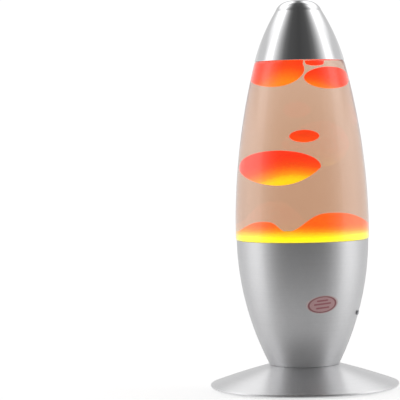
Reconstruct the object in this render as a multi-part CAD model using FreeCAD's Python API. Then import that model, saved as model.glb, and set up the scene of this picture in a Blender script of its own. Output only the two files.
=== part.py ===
import FreeCAD, Part
import math
import os

from FreeCAD import Placement, Rotation, Vector

# Lava lamp, in millimetres. The origin is the centre of the face it stands on, +Z is up, and the
# front with the round label faces -Y. Every outline is drawn in the XZ half plane, where x is the
# radius, and turned about Z.

# Outer shape, from the floor up
LAMP_HEIGHT = 410.0
FOOT_RIM_RADIUS = 100.0
JOINT_Z = 24.4               # base foot meets body shell
JOINT_RADIUS = 37.2
COLLAR_Z = 157.2             # rim of the body shell
COLLAR_RADIUS = 69.8
GLASS_BOTTOM_RADIUS = 70.7   # the glass stands out a little over the metal rim
CAP_EDGE_Z = 345.1           # lower edge of the cap
CAP_EDGE_RADIUS = 47.6
CAP_SIDE_TOP = (24.6, 398.2)
CAP_BEND = (20.7, 404.2)     # halfway round the bend from the side to the crown
CAP_CROWN_EDGE = (14.5, 408.0)
FOOT_SAGITTA = 0.7
BODY_SAGITTA = 7.8
GLASS_SAGITTA = 6.4
CAP_SAGITTA = 2.1

# Gaps
FREE_GAP = 0.3               # between pieces that move apart
SNUG_GAP = 0.05              # between pieces that stay put
THREAD_GAP = 0.02            # between a screw's outside and its nut
BOLT_GAP = 0.15              # between a bolt and its clearance hole

# Spun metal shells
SHEET = 1.2
DRILL_REACH = 8.0            # a drilled hole's cutter reaches this far each side of the wall
RIM_BEAD_RADIUS = 1.6
RIM_BOTTOM_Z = 1.5
RIM_LAP = 1.1
RIM_EDGE = (FOOT_RIM_RADIUS - 1.1, RIM_BOTTOM_Z + 3.1)

# Bottle
GLASS_WALL = 3.0
BOTTLE_FOOT_Z = 119.8
BOTTLE_FOOT_RADIUS = 60.5
BOTTLE_RIM_RADIUS = 68.0     # inside the metal rim
LOWER_GLASS_SAGITTA = 1.0
PUNT_RADIUS = 50.0
PUNT_RISE = 6.0
HEEL_RADIUS = 7.0
SHOULDER_CENTRE = (23.4, 342.0)
SHOULDER_RADIUS = 22.0
SHOULDER_Z = 345.0
NECK_RADIUS = 13.3
NECK_CURVE_RADIUS = 12.0
NECK_ROOT_Z = 367.5          # where the bottle's and the neck's solids meet
MOUTH_Z = 398.0
LIP_RADIUS = 13.9
LIP_HEIGHT = 4.0
LIQUID_TOP_Z = 384.0
SEAL_HEIGHT = 0.6
CROWN_SHEET = 0.35
CROWN_SKIRT = 4.8            # the crown's skirt below the mouth
CROWN_CRIMP = 1.5            # its last stretch, pressed in under the lip

# Wax: each blob is (centre, half sizes); the film clings under the shoulder
POOL_TOP_Z = 164.0
POOL_MOUNDS = [((-30.0, 0.0, 160.0), (20.0, 26.0, 16.0)), ((23.0, 0.0, 162.0), (32.0, 36.0, 22.5))]
BLOBS = {
    "wax_blob_upper_left": ((-20.0, 7.0, 333.0), (23.6, 21.6, 17.8)),
    "wax_blob_upper_right": ((24.8, -7.0, 324.6), (21.2, 20.0, 11.4)),
    "wax_blob_small": ((2.9, 0.0, 263.9), (11.8, 9.5, 6.4)),
    "wax_blob_large": ((-18.5, 0.0, 231.4), (34.0, 26.0, 18.0)),
}
FILM = ((13.0, -3.0, 340.4), (10.6, 13.0, 3.4))
COIL_RING_RADIUS = 44.0
COIL_RADIUS = 3.5
COIL_WIRE = 0.4
COIL_Z = BOTTLE_FOOT_Z + GLASS_WALL + COIL_RADIUS + 3.0

# Lampholder stack on the threaded tube
TUBE_RADIUS = 5.0
TUBE_BORE = 3.8
TUBE_BOTTOM_Z = 2.9
TUBE_TOP_Z = 38.0
NUT_FLATS = 15.0
NUT_HEIGHT = 3.2
WASHER_RADIUS = 9.5
WASHER_HEIGHT = 1.0
TOOTH_NOTCH = 0.9
STRAP = 1.5
STRAP_WIDTH = 14.0
ARM_GAP = 0.7                # the flat arms clear the round wall at their edges
ARM_PAD = 7.0                # half the height of the flat pad at each arm's end
HOLDER_Z = 33.0
HOLDER_NOSE_RADIUS = 9.0
CUP_RADIUS = 12.4
CUP_WALL = 1.6
CUP_FLOOR_Z = 39.5
CUP_TOP_Z = 46.8
HOLDER_RADIUS = 13.8
SKIRT_Z = 43.5
HOLDER_TOP_Z = 62.0
HOLDER_MOUTH_RADIUS = 8.4
INSULATOR_HEIGHT = 1.5
SOCKET_RADIUS = 6.8
SOCKET_SHEET = 0.4
SOCKET_Z = (44.6, 59.5)
CONTACT_LEAF = (8.5, 4.0, 0.4)
RIVET_RADIUS = 1.5
SIDE_SCREW_Z = 80.0
SIDE_SCREW_AZIMUTHS = (-17.0, 163.0)
SIDE_SCREW_SHANK = 2.0
SIDE_SCREW_LENGTH = 6.0
SIDE_SCREW_HEAD = (2.7, 1.8)
SIDE_SCREW_SLOT = (0.8, 0.7)

# Reflector bulb with a small Edison screw; its heights are measured up from its tip
BULB_TIP_Z = 42.2
BULB_LENGTH = 67.0
BULB_RADIUS = 19.5
BULB_RIM = 53.0
BULB_NECK = (16.0, 24.0)
BULB_NECK_RADIUS = 6.2
BULB_GLASS = 0.7
BULB_SHELL = (3.2, 19.5)
BULB_SHELL_RADIUS = 6.7
BULB_SHELL_SHEET = 0.35
BULB_INSULATOR = (1.2, 4.2)
BULB_TIP_RADIUS = 2.2
BULB_TIP_HEIGHT = 1.1
STEM_FOOT = (4.4, 17.5)
STEM_RADIUS = 1.8
STEM_TOP = 31.3
LEAD_RADIUS = 0.3
LEAD_SPACING = 2.4
LEAD_TOP = 42.4
FILAMENT_RADIUS = 0.45
FILAMENT_BOW = 5.2

# Seat of the bottle
SEAT_Z = 116.0
SEAT_INNER_RADIUS = 50.0
SEAT_LIP_TOP_Z = 122.0
SEAT_HEM = 4.0
GASKET_HEIGHT = 2.3
GASKET_ROUND = 0.8

# Bottom cover, feet, cord grommet and label
COVER_Z = 2.6
COVER_RADIUS = 96.5
COVER_DISH_RADIUS = 16.0
COVER_DISH_RISE = 6.0
COVER_DISH_SLOPE = 6.0
FEET_RING_RADIUS = 84.0
FEET_RADIUS = 8.0
FEET_ROUND = 0.8
FEET_STEM_RADIUS = 2.4
FEET_BARB = 1.0
GROMMET_Z = 40.0
GROMMET_AZIMUTH = 90.0
GROMMET_HOLE = 5.0
GROMMET_BORE = 3.3
GROMMET_FLANGE = 7.2
GROMMET_FLANGE_HEIGHT = 1.8
GROMMET_SAG = 0.9            # the inner flange clears the hollow side of the wall
LABEL_Z = 92.5
LABEL_AZIMUTH = -71.3
LABEL_HALF_SIZES = (17.5, 9.7)
LABEL_TILT = 5.0
LABEL_THICKNESS = 0.18
LABEL_LIFT = 0.02

UP = Vector(0, 0, 1)
ORIGIN = Vector(0, 0, 0)


class Bulge:
    """A side wall's arc between two outline points, bowed outwards by a sagitta."""

    def __init__(self, low, high, sagitta):
        chord = math.dist(low, high)
        self.radius = chord * chord / (8 * sagitta) + sagitta / 2
        out_r = (high[1] - low[1]) / chord
        out_z = (low[0] - high[0]) / chord
        self.centre_r = (low[0] + high[0]) / 2 + out_r * (sagitta - self.radius)
        self.centre_z = (low[1] + high[1]) / 2 + out_z * (sagitta - self.radius)

    def r(self, z, inset=0.0):
        """The wall's radius at height z, measured a distance inset inside its outer face."""
        reach = self.radius - inset
        return self.centre_r + math.sqrt(reach * reach - (z - self.centre_z) ** 2)

    def normal(self, z):
        """The outward direction at height z, as (radial, vertical) parts."""
        return (self.r(z) - self.centre_r) / self.radius, (z - self.centre_z) / self.radius


class Outline:
    """An outline in the XZ half plane, drawn edge by edge and turned about Z."""

    def __init__(self, r, z):
        self.here = Vector(r, 0, z)
        self.start = self.here
        self.edges = []

    def line(self, *points):
        for r, z in points:
            end = Vector(r, 0, z)
            self.edges.append(Part.LineSegment(self.here, end).toShape())
            self.here = end
        return self

    def arc(self, middle, end):
        middle = Vector(middle[0], 0, middle[1])
        end = Vector(end[0], 0, end[1])
        self.edges.append(Part.Arc(self.here, middle, end).toShape())
        self.here = end
        return self

    def along(self, bulge, z, inset=0.0):
        """Follows a bulging wall from the outline's present height to height z."""
        middle_z = (self.here.z + z) / 2
        return self.arc((bulge.r(middle_z, inset), middle_z), (bulge.r(z, inset), z))

    def dome(self, r, z):
        """A spherical cap, from the axis to a point or from a point to the axis."""
        end = Vector(r, 0, z)
        apex, edge = (self.here, end) if self.here.x == 0 else (end, self.here)
        rise = apex.z - edge.z
        radius = (edge.x * edge.x + rise * rise) / (2 * rise)
        half_angle = math.asin(edge.x / abs(radius)) / 2
        middle_z = apex.z - radius * (1 - math.cos(half_angle))
        return self.arc((abs(radius) * math.sin(half_angle), middle_z), (r, z))

    def turned(self):
        if self.here.distanceToPoint(self.start) > 1e-6:
            self.edges.append(Part.LineSegment(self.here, self.start).toShape())
        return Part.Face(Part.Wire(self.edges)).revolve(ORIGIN, UP, 360)


FOOT_TOP = (JOINT_RADIUS, JOINT_Z)
foot_wall = Bulge(RIM_EDGE, FOOT_TOP, FOOT_SAGITTA)
body_wall = Bulge((JOINT_RADIUS - 0.2, JOINT_Z), (COLLAR_RADIUS, COLLAR_Z), BODY_SAGITTA)
glass_wall = Bulge((GLASS_BOTTOM_RADIUS, COLLAR_Z), (CAP_EDGE_RADIUS, CAP_EDGE_Z), GLASS_SAGITTA)
lower_glass = Bulge((BOTTLE_FOOT_RADIUS, BOTTLE_FOOT_Z), (BOTTLE_RIM_RADIUS, COLLAR_Z),
                    LOWER_GLASS_SAGITTA)
cap_wall = Bulge((CAP_EDGE_RADIUS, CAP_EDGE_Z), CAP_SIDE_TOP, CAP_SAGITTA)


def cylinder(radius, low, high):
    return Part.makeCylinder(radius, high - low, Vector(0, 0, low))


def ring(inner, outer, low, high):
    return cylinder(outer, low, high).cut(cylinder(inner, low, high))


def hexagon(flats, low, high):
    corner = flats / math.sqrt(3)
    points = [Vector(corner * math.cos(a), corner * math.sin(a), low) for a in corner_angles(6)]
    return Part.Face(Part.makePolygon(points + points[:1])).extrude(UP * (high - low))


def corner_angles(count):
    return [2 * math.pi * i / count for i in range(count)]


def rounded(shape, radius, rings):
    """Rounds the circular edges at the given (radius, height) places."""
    chosen = []
    for edge in shape.Edges:
        if edge.Degenerated or not isinstance(edge.Curve, Part.Circle):
            continue
        place = (edge.Curve.Radius, edge.Curve.Center.z)
        if any(math.dist(place, wanted) < 0.02 for wanted in rings):
            chosen.append(edge)
    return shape.makeFillet(radius, chosen)


def ellipsoid(centre, half_sizes, grow=0.0):
    stretch = FreeCAD.Matrix()
    stretch.scale(*[half + grow for half in half_sizes])
    ball = Part.makeSphere(1.0).transformGeometry(stretch)
    return ball.translated(Vector(*centre))


def on_body_wall(shape, azimuth, z):
    """Moves a shape built about the origin, with +Z outwards, onto the body shell's outer face."""
    a = math.radians(azimuth)
    out_r, out_z = body_wall.normal(z)
    outward = Vector(out_r * math.cos(a), out_r * math.sin(a), out_z)
    sideways = Vector(-math.sin(a), math.cos(a), 0)
    turn = Rotation(sideways, outward.cross(sideways), outward, "ZXY")
    radius = body_wall.r(z)
    place = Vector(radius * math.cos(a), radius * math.sin(a), z)
    return shape.transformed(Placement(place, turn).toMatrix())


def save(node, shape):
    solids = shape.Solids
    if not solids or not all(solid.isValid() for solid in solids):
        raise RuntimeError("bad solid: " + node)
    tidy = solids[0] if len(solids) == 1 else Part.makeCompound(solids)
    tidy.exportStep("parts/" + node + ".step")
    print(node, len(solids), round(shape.Volume / 1000, 2), "cm3")


# ---- cap and bottle ----

def cap_space(inset):
    """The volume within the cap's outer face, or within its inner face at an inset of SHEET."""
    low = CAP_EDGE_Z + FREE_GAP
    bend_inset = inset * math.sqrt(0.5)
    outline = Outline(0, low).line((cap_wall.r(low, inset), low))
    outline.along(cap_wall, CAP_SIDE_TOP[1] - inset / 2, inset)
    crown_edge = (CAP_CROWN_EDGE[0] - inset / 4, CAP_CROWN_EDGE[1] - inset)
    outline.arc((CAP_BEND[0] - bend_inset, CAP_BEND[1] - bend_inset), crown_edge)
    return outline.dome(0, LAMP_HEIGHT - inset).turned()


def top_cap():
    low = CAP_EDGE_Z + FREE_GAP
    return rounded(cap_space(0).cut(cap_space(SHEET)), 0.4, [(cap_wall.r(low), low)])


def shoulder(outline, inset):
    """Carries a bottle outline from SHOULDER_Z round the shoulder and up into the neck."""
    centre_r, centre_z = SHOULDER_CENTRE
    curve = SHOULDER_RADIUS - inset
    neck_curve = NECK_CURVE_RADIUS + inset
    neck_centre_r = NECK_RADIUS + NECK_CURVE_RADIUS
    reach = SHOULDER_RADIUS + NECK_CURVE_RADIUS
    lean = math.asin((neck_centre_r - centre_r) / reach)
    neck_centre_z = centre_z + reach * math.cos(lean)
    start = math.asin((SHOULDER_Z - centre_z) / curve)
    middle = (start + math.pi / 2 - lean) / 2
    join = (centre_r + curve * math.sin(lean), centre_z + curve * math.cos(lean))
    outline.arc((centre_r + curve * math.cos(middle), centre_z + curve * math.sin(middle)), join)
    middle = (math.pi / 2 - lean) / 2
    dip_r = neck_centre_r - neck_curve * math.cos(middle)
    dip_z = neck_centre_z - neck_curve * math.sin(middle)
    outline.arc((dip_r, dip_z), (neck_centre_r - neck_curve, neck_centre_z))
    return outline


def shoulder_start(inset):
    curve = SHOULDER_RADIUS - inset
    centre_r, centre_z = SHOULDER_CENTRE
    return centre_r + math.sqrt(curve * curve - (SHOULDER_Z - centre_z) ** 2), SHOULDER_Z


def bottle_inside(gap, top_z):
    """The space inside the bottle, kept a gap clear of the glass."""
    inset = GLASS_WALL + gap
    floor_z = BOTTLE_FOOT_Z + inset
    floor_r = PUNT_RADIUS - 3
    outline = Outline(0, floor_z + PUNT_RISE)
    outline.dome(floor_r, floor_z)
    corner = (lower_glass.r(floor_z, inset), floor_z)
    outline.line(corner)
    outline.along(lower_glass, COLLAR_Z - 3, inset)
    outline.line((glass_wall.r(COLLAR_Z + 3, inset), COLLAR_Z + 3))
    outline.along(glass_wall, CAP_EDGE_Z - 6, inset)
    outline.line(shoulder_start(inset))
    shoulder(outline, inset)
    outline.line((NECK_RADIUS - inset, top_z), (0, top_z))
    return rounded(outline.turned(), HEEL_RADIUS - 2, [corner])


def glass():
    foot_z = BOTTLE_FOOT_Z
    outline = Outline(0, foot_z + PUNT_RISE)
    outline.dome(PUNT_RADIUS, foot_z)
    heel = (lower_glass.r(foot_z), foot_z)
    outline.line(heel)
    ledge_z = COLLAR_Z + FREE_GAP
    outline.along(lower_glass, ledge_z)
    ledge = (glass_wall.r(ledge_z), ledge_z)
    outline.line(ledge)
    outline.along(glass_wall, CAP_EDGE_Z)
    outline.line((shoulder_start(0)[0], CAP_EDGE_Z), shoulder_start(0))
    shoulder(outline, 0)
    lip_z = MOUTH_Z - LIP_HEIGHT
    lip_slope = LIP_RADIUS - NECK_RADIUS
    outline.line((NECK_RADIUS, lip_z), (LIP_RADIUS, lip_z + lip_slope))
    outline.line((LIP_RADIUS, MOUTH_Z), (0, MOUTH_Z))
    outside = outline.turned()
    outside = rounded(outside, HEEL_RADIUS, [heel])
    outside = rounded(outside, 0.7, [ledge, (CAP_EDGE_RADIUS, CAP_EDGE_Z)])
    outside = rounded(outside, 0.8, [(LIP_RADIUS, MOUTH_Z)])
    return outside.cut(bottle_inside(0, MOUTH_Z + 1))


def bottle():
    """The glass up to the root of its neck."""
    return glass().common(cylinder(BOTTLE_RIM_RADIUS + GLASS_WALL, 0, NECK_ROOT_Z))


def bottle_neck():
    return glass().common(cylinder(BOTTLE_RIM_RADIUS, NECK_ROOT_Z, MOUTH_Z + 1))


def closure_seal():
    return cylinder(LIP_RADIUS - 0.5, MOUTH_Z, MOUTH_Z + SEAL_HEIGHT)


def bottle_closure():
    """A crown cap: a disc with a skirt that is crimped under the lip."""
    low = MOUTH_Z - CROWN_SKIRT
    crimp_z = low + CROWN_CRIMP
    top_z = MOUTH_Z + SEAL_HEIGHT
    skirt_r = LIP_RADIUS + SNUG_GAP
    edge_r = NECK_RADIUS + 0.5
    outline = Outline(0, top_z).line((skirt_r, top_z), (skirt_r, crimp_z), (edge_r, low))
    outline.line((edge_r + CROWN_SHEET, low), (skirt_r + CROWN_SHEET, crimp_z))
    outline.line((skirt_r + CROWN_SHEET, top_z + CROWN_SHEET), (0, top_z + CROWN_SHEET))
    return outline.turned()


# ---- wax and liquid ----

def heat_coil(grow=0.0):
    """The wire coil that lies in the wax as a closed ring, drawn as its tubular envelope."""
    place = Vector(0, 0, COIL_Z)
    envelope = Part.makeTorus(COIL_RING_RADIUS, COIL_RADIUS + grow, place)
    if grow:
        return envelope
    return envelope.cut(Part.makeTorus(COIL_RING_RADIUS, COIL_RADIUS - COIL_WIRE, place))


def wax_volume(grow):
    """The pool's shape before it is cut to the bottle: a level with two rising mounds."""
    level = cylinder(GLASS_BOTTOM_RADIUS, BOTTLE_FOOT_Z, POOL_TOP_Z + grow)
    mounds = [ellipsoid(centre, sizes, grow) for centre, sizes in POOL_MOUNDS]
    return level.multiFuse(mounds)


def wax_pool():
    inside = bottle_inside(FREE_GAP, LIQUID_TOP_Z)
    return inside.common(wax_volume(0)).cut(heat_coil(FREE_GAP))


def liquid():
    inside = bottle_inside(FREE_GAP, LIQUID_TOP_Z)
    floating = list(BLOBS.values()) + [FILM]
    blobs = [ellipsoid(centre, sizes, FREE_GAP) for centre, sizes in floating]
    return inside.cut([wax_volume(FREE_GAP)] + blobs)


# ---- body shell and seat ----

def body_shell():
    inner_floor = JOINT_Z + SHEET
    outline = Outline(TUBE_RADIUS + BOLT_GAP, JOINT_Z)
    foot_corner = (body_wall.r(JOINT_Z), JOINT_Z)
    outline.line(foot_corner).along(body_wall, COLLAR_Z)
    outline.line((body_wall.r(COLLAR_Z, SHEET), COLLAR_Z)).along(body_wall, inner_floor, SHEET)
    inner_corner = (body_wall.r(inner_floor, SHEET), inner_floor)
    outline.line((TUBE_RADIUS + BOLT_GAP, inner_floor))
    shell = rounded(outline.turned(), 0.8, [foot_corner])
    shell = rounded(shell, 0.5, [inner_corner, (body_wall.r(COLLAR_Z), COLLAR_Z)])
    screw_hole = cylinder(SIDE_SCREW_SHANK + BOLT_GAP, -DRILL_REACH, DRILL_REACH)
    for azimuth in SIDE_SCREW_AZIMUTHS:
        shell = shell.cut(on_body_wall(screw_hole, azimuth, SIDE_SCREW_Z))
    grommet_hole = cylinder(GROMMET_HOLE, -DRILL_REACH, DRILL_REACH)
    return shell.cut(on_body_wall(grommet_hole, GROMMET_AZIMUTH, GROMMET_Z))


def bottle_seat_ring():
    """A spun ring, pushed down into the tapering shell until it wedges."""
    outer_inset = SHEET + SNUG_GAP
    inner_inset = outer_inset + SHEET
    top_z = SEAT_Z + SHEET
    hem_z = SEAT_Z - SEAT_HEM
    outline = Outline(SEAT_INNER_RADIUS, hem_z)
    outline.line((SEAT_INNER_RADIUS + SHEET, hem_z), (SEAT_INNER_RADIUS + SHEET, SEAT_Z))
    outline.line((body_wall.r(SEAT_Z, outer_inset), SEAT_Z)).along(body_wall, SEAT_LIP_TOP_Z, outer_inset)
    outline.line((body_wall.r(SEAT_LIP_TOP_Z, inner_inset), SEAT_LIP_TOP_Z))
    outline.along(body_wall, top_z, inner_inset).line((SEAT_INNER_RADIUS, top_z))
    return outline.turned()


def seat_gasket():
    low = SEAT_Z + SHEET
    high = low + GASKET_HEIGHT
    inner = SEAT_INNER_RADIUS + 1
    outer = BOTTLE_FOOT_RADIUS - 1
    return rounded(ring(inner, outer, low, high), GASKET_ROUND, [(inner, high), (outer, high)])


# ---- lampholder stack ----

def holder_bracket():
    """A strap under the lampholder, with two arms that reach out to the side screws."""
    floor_z = JOINT_Z + SHEET
    inset = SHEET + ARM_GAP + STRAP
    pad_low = SIDE_SCREW_Z - ARM_PAD
    pad_high = SIDE_SCREW_Z + ARM_PAD
    bend_r = body_wall.r(floor_z, inset) - STRAP
    side = [(bend_r, floor_z + STRAP), (body_wall.r(pad_low, inset), pad_low)]
    side.append((body_wall.r(pad_high, inset), pad_high))
    points = [Vector(-r, 0, z) for r, z in reversed(side)] + [Vector(r, 0, z) for r, z in side]
    strap = Part.makePolygon(points).makeOffset2D(-STRAP, 2, True, True, False)
    strap = strap.extrude(Vector(0, STRAP_WIDTH, 0)).translated(Vector(0, -STRAP_WIDTH / 2, 0))
    strap = strap.rotated(ORIGIN, UP, SIDE_SCREW_AZIMUTHS[0])
    strap = strap.cut(cylinder(TUBE_RADIUS + BOLT_GAP, 0, floor_z + 2 * STRAP))
    tapped_hole = cylinder(SIDE_SCREW_SHANK + THREAD_GAP, -DRILL_REACH, 0)
    for azimuth in SIDE_SCREW_AZIMUTHS:
        strap = strap.cut(on_body_wall(tapped_hole, azimuth, SIDE_SCREW_Z))
    return strap


def side_screws():
    radius, height = SIDE_SCREW_HEAD
    width, depth = SIDE_SCREW_SLOT
    head = rounded(cylinder(radius, 0, height), 0.8, [(radius, height)])
    screw = head.fuse(cylinder(SIDE_SCREW_SHANK, -SIDE_SCREW_LENGTH, 0))
    slot = Part.makeBox(2 * radius, width, depth, Vector(-radius, -width / 2, height - depth))
    screw = screw.cut(slot.fuse(slot.rotated(ORIGIN, UP, 90)))
    places = [on_body_wall(screw, azimuth, SIDE_SCREW_Z) for azimuth in SIDE_SCREW_AZIMUTHS]
    return Part.makeCompound(places)


def threaded_tube():
    return ring(TUBE_BORE, TUBE_RADIUS, TUBE_BOTTOM_Z, TUBE_TOP_Z)


def tube_nut(low):
    high = low + NUT_HEIGHT
    return hexagon(NUT_FLATS, low, high).cut(cylinder(TUBE_RADIUS + THREAD_GAP, low, high))


def plain_washer(low):
    return ring(TUBE_RADIUS + BOLT_GAP, WASHER_RADIUS, low, low + WASHER_HEIGHT)


def toothed_washer(low):
    """A lock washer with teeth round its outer edge."""
    notch = cylinder(TOOTH_NOTCH, low, low + WASHER_HEIGHT).translated(Vector(WASHER_RADIUS, 0, 0))
    notches = [notch.rotated(ORIGIN, UP, math.degrees(a)) for a in corner_angles(12)]
    return plain_washer(low).cut(notches)


def holder_base():
    """The lampholder's lower half: a cup that screws onto the tube."""
    bore = TUBE_RADIUS + THREAD_GAP
    outline = Outline(bore, HOLDER_Z).line((HOLDER_NOSE_RADIUS, HOLDER_Z))
    outline.line((CUP_RADIUS, HOLDER_Z + CUP_RADIUS - HOLDER_NOSE_RADIUS), (CUP_RADIUS, CUP_TOP_Z))
    outline.line((CUP_RADIUS - CUP_WALL, CUP_TOP_Z), (CUP_RADIUS - CUP_WALL, CUP_FLOOR_Z))
    return outline.line((bore, CUP_FLOOR_Z)).turned()


def holder_insulator():
    """The inner disc that carries the centre contact and the screw shell."""
    outer = CUP_RADIUS - CUP_WALL - 2 * SNUG_GAP
    disc_top = CUP_FLOOR_Z + INSULATOR_HEIGHT
    disc = ring(RIVET_RADIUS + 2 * SNUG_GAP, outer, CUP_FLOOR_Z, disc_top)
    return disc.fuse(ring(HOLDER_MOUTH_RADIUS, outer, disc_top, CUP_TOP_Z))


def holder_sleeve():
    """The lampholder's upper half: a skirt that screws down over the cup."""
    skirt_r = CUP_RADIUS + 2 * SNUG_GAP
    shoulder_z = CUP_TOP_Z + 4 * SNUG_GAP
    outline = Outline(skirt_r, SKIRT_Z).line((HOLDER_RADIUS, SKIRT_Z))
    outline.line((HOLDER_RADIUS, HOLDER_TOP_Z - 2), (HOLDER_RADIUS - 2, HOLDER_TOP_Z))
    outline.line((HOLDER_MOUTH_RADIUS, HOLDER_TOP_Z), (HOLDER_MOUTH_RADIUS, shoulder_z))
    return outline.line((skirt_r, shoulder_z)).turned()


def holder_screw_shell():
    low, high = SOCKET_Z
    flange = ring(SOCKET_RADIUS, HOLDER_MOUTH_RADIUS - 2 * SNUG_GAP, low, low + SOCKET_SHEET)
    return flange.fuse(ring(SOCKET_RADIUS, SOCKET_RADIUS + SOCKET_SHEET, low, high))


def holder_contact():
    """A sprung leaf under the bulb's tip, riveted through the insulator."""
    length, width, thickness = CONTACT_LEAF
    leaf_z = CUP_FLOOR_Z + INSULATOR_HEIGHT
    rivet = cylinder(RIVET_RADIUS, CUP_FLOOR_Z - INSULATOR_HEIGHT, leaf_z)
    leaf = Part.makeBox(length, width, thickness, Vector(-length / 2, -width / 2, leaf_z))
    button = cylinder(width / 2, leaf_z, BULB_TIP_Z - 4 * SNUG_GAP)
    return rivet.fuse([leaf, button])


# ---- bulb ----

def bulb_outline(inset, low):
    """The envelope's outline: a straight neck, a flared reflector and a gently domed front."""
    neck = BULB_NECK_RADIUS - inset
    wide = BULB_RADIUS - inset
    rim_z = BULB_TIP_Z + BULB_RIM
    flare_z = (BULB_TIP_Z + BULB_NECK[1] + rim_z) / 2 - BULB_NECK_RADIUS / 2
    outline = Outline(0, low).line((neck, low), (neck, BULB_TIP_Z + BULB_NECK[1]))
    outline.arc((neck + (wide - neck) / 3, flare_z), (wide - 0.6, rim_z - 2))
    outline.arc((wide, rim_z + 1.5), (wide - 0.9, rim_z + 4.5))
    return outline.dome(0, BULB_TIP_Z + BULB_LENGTH - inset).turned()


def bulb_envelope():
    low = BULB_TIP_Z + BULB_NECK[0]
    return bulb_outline(0, low).cut(bulb_outline(BULB_GLASS, low + 2 * BULB_GLASS))


def bulb_screw_shell():
    low, high = BULB_SHELL
    return ring(BULB_SHELL_RADIUS - BULB_SHELL_SHEET, BULB_SHELL_RADIUS, BULB_TIP_Z + low, BULB_TIP_Z + high)


def bulb_insulator():
    low = BULB_TIP_Z + BULB_INSULATOR[0]
    high = BULB_TIP_Z + BULB_INSULATOR[1]
    inside_shell = BULB_SHELL_RADIUS - BULB_SHELL_SHEET - 3 * SNUG_GAP
    return Outline(0, low).line((BULB_TIP_RADIUS, low), (inside_shell, high), (0, high)).turned()


def bulb_contact():
    tip = cylinder(BULB_TIP_RADIUS, BULB_TIP_Z, BULB_TIP_Z + BULB_TIP_HEIGHT)
    return rounded(tip, 0.6, [(BULB_TIP_RADIUS, BULB_TIP_Z)])


def bulb_stem():
    foot_r, foot = STEM_FOOT
    low = BULB_TIP_Z + foot
    flare_z = low + 2 * (foot_r - STEM_RADIUS)
    top_z = BULB_TIP_Z + STEM_TOP
    outline = Outline(0, low).line((foot_r, low), (STEM_RADIUS, flare_z))
    return outline.line((STEM_RADIUS, top_z), (0, top_z)).turned()


def bulb_filament():
    """Two lead wires that stand on the stem and carry a bowed filament."""
    low = BULB_TIP_Z + STEM_TOP + 2 * SNUG_GAP
    high = BULB_TIP_Z + LEAD_TOP
    wires = []
    for x in (-LEAD_SPACING / 2, LEAD_SPACING / 2):
        wires.append(cylinder(LEAD_RADIUS, low, high).translated(Vector(x, 0, 0)))
        foot = Vector(x, 0, high - LEAD_RADIUS)
        wires.append(Part.makeCylinder(LEAD_RADIUS, FILAMENT_BOW - LEAD_RADIUS, foot, Vector(x, 0, 0.6)))
    bow_place = Vector(0, 0, high + (FILAMENT_BOW - LEAD_RADIUS) / 3)
    wires.append(Part.makeTorus(FILAMENT_BOW, FILAMENT_RADIUS, bow_place, UP, -180, 180, 180))
    return wires[0].fuse(wires[1:])


# ---- base foot ----

def base_foot():
    bead_r = FOOT_RIM_RADIUS - RIM_BEAD_RADIUS
    bead_z = RIM_BOTTOM_Z + RIM_BEAD_RADIUS
    lean = RIM_BEAD_RADIUS * math.sqrt(0.5)
    bead_back = (bead_r - lean, bead_z - lean)
    inner_edge_z = bead_z + RIM_LAP
    outline = Outline(TUBE_RADIUS + BOLT_GAP, JOINT_Z).line(FOOT_TOP)
    outline.along(foot_wall, RIM_EDGE[1])
    outline.arc((FOOT_RIM_RADIUS, bead_z), (bead_r, RIM_BOTTOM_Z))
    outline.arc(bead_back, (bead_r - RIM_BEAD_RADIUS, bead_z))
    outline.line((foot_wall.r(inner_edge_z, SHEET), inner_edge_z))
    outline.along(foot_wall, JOINT_Z - SHEET, SHEET)
    outline.line((TUBE_RADIUS + BOLT_GAP, JOINT_Z - SHEET))
    return rounded(outline.turned(), 0.8, [FOOT_TOP])


def feet_places():
    angles = [angle + math.pi / 4 for angle in corner_angles(4)]
    return [Vector(FEET_RING_RADIUS * math.cos(a), FEET_RING_RADIUS * math.sin(a), 0) for a in angles]


def bottom_cover():
    """A pressed disc that nests inside the rolled rim, dished in the middle for the nut."""
    bore = TUBE_RADIUS + BOLT_GAP
    dish_z = COVER_Z + COVER_DISH_RISE
    flat_r = COVER_DISH_RADIUS + COVER_DISH_SLOPE
    slope_shift = SHEET / 2
    outline = Outline(bore, dish_z).line((COVER_DISH_RADIUS, dish_z), (flat_r, COVER_Z))
    outline.line((COVER_RADIUS, COVER_Z), (COVER_RADIUS, COVER_Z + SHEET))
    outline.line((flat_r + slope_shift, COVER_Z + SHEET), (COVER_DISH_RADIUS + slope_shift, dish_z + SHEET))
    cover = outline.line((bore, dish_z + SHEET)).turned()
    hole = cylinder(FEET_STEM_RADIUS + BOLT_GAP, 0, DRILL_REACH)
    return cover.cut([hole.translated(place) for place in feet_places()])


def rubber_foot(place):
    """A push-in foot: a pad, a stem through the cover and a barbed head."""
    high = COVER_Z + SHEET
    barb_r = FEET_STEM_RADIUS + FEET_BARB
    top_z = high + 2 * FEET_BARB
    outline = Outline(0, 0).line((FEET_RADIUS - FEET_ROUND, 0), (FEET_RADIUS, FEET_ROUND))
    outline.line((FEET_RADIUS, COVER_Z), (FEET_STEM_RADIUS, COVER_Z), (FEET_STEM_RADIUS, high))
    outline.line((barb_r, high), (FEET_STEM_RADIUS - FEET_BARB / 2, top_z), (0, top_z))
    return outline.turned().translated(place)


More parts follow.
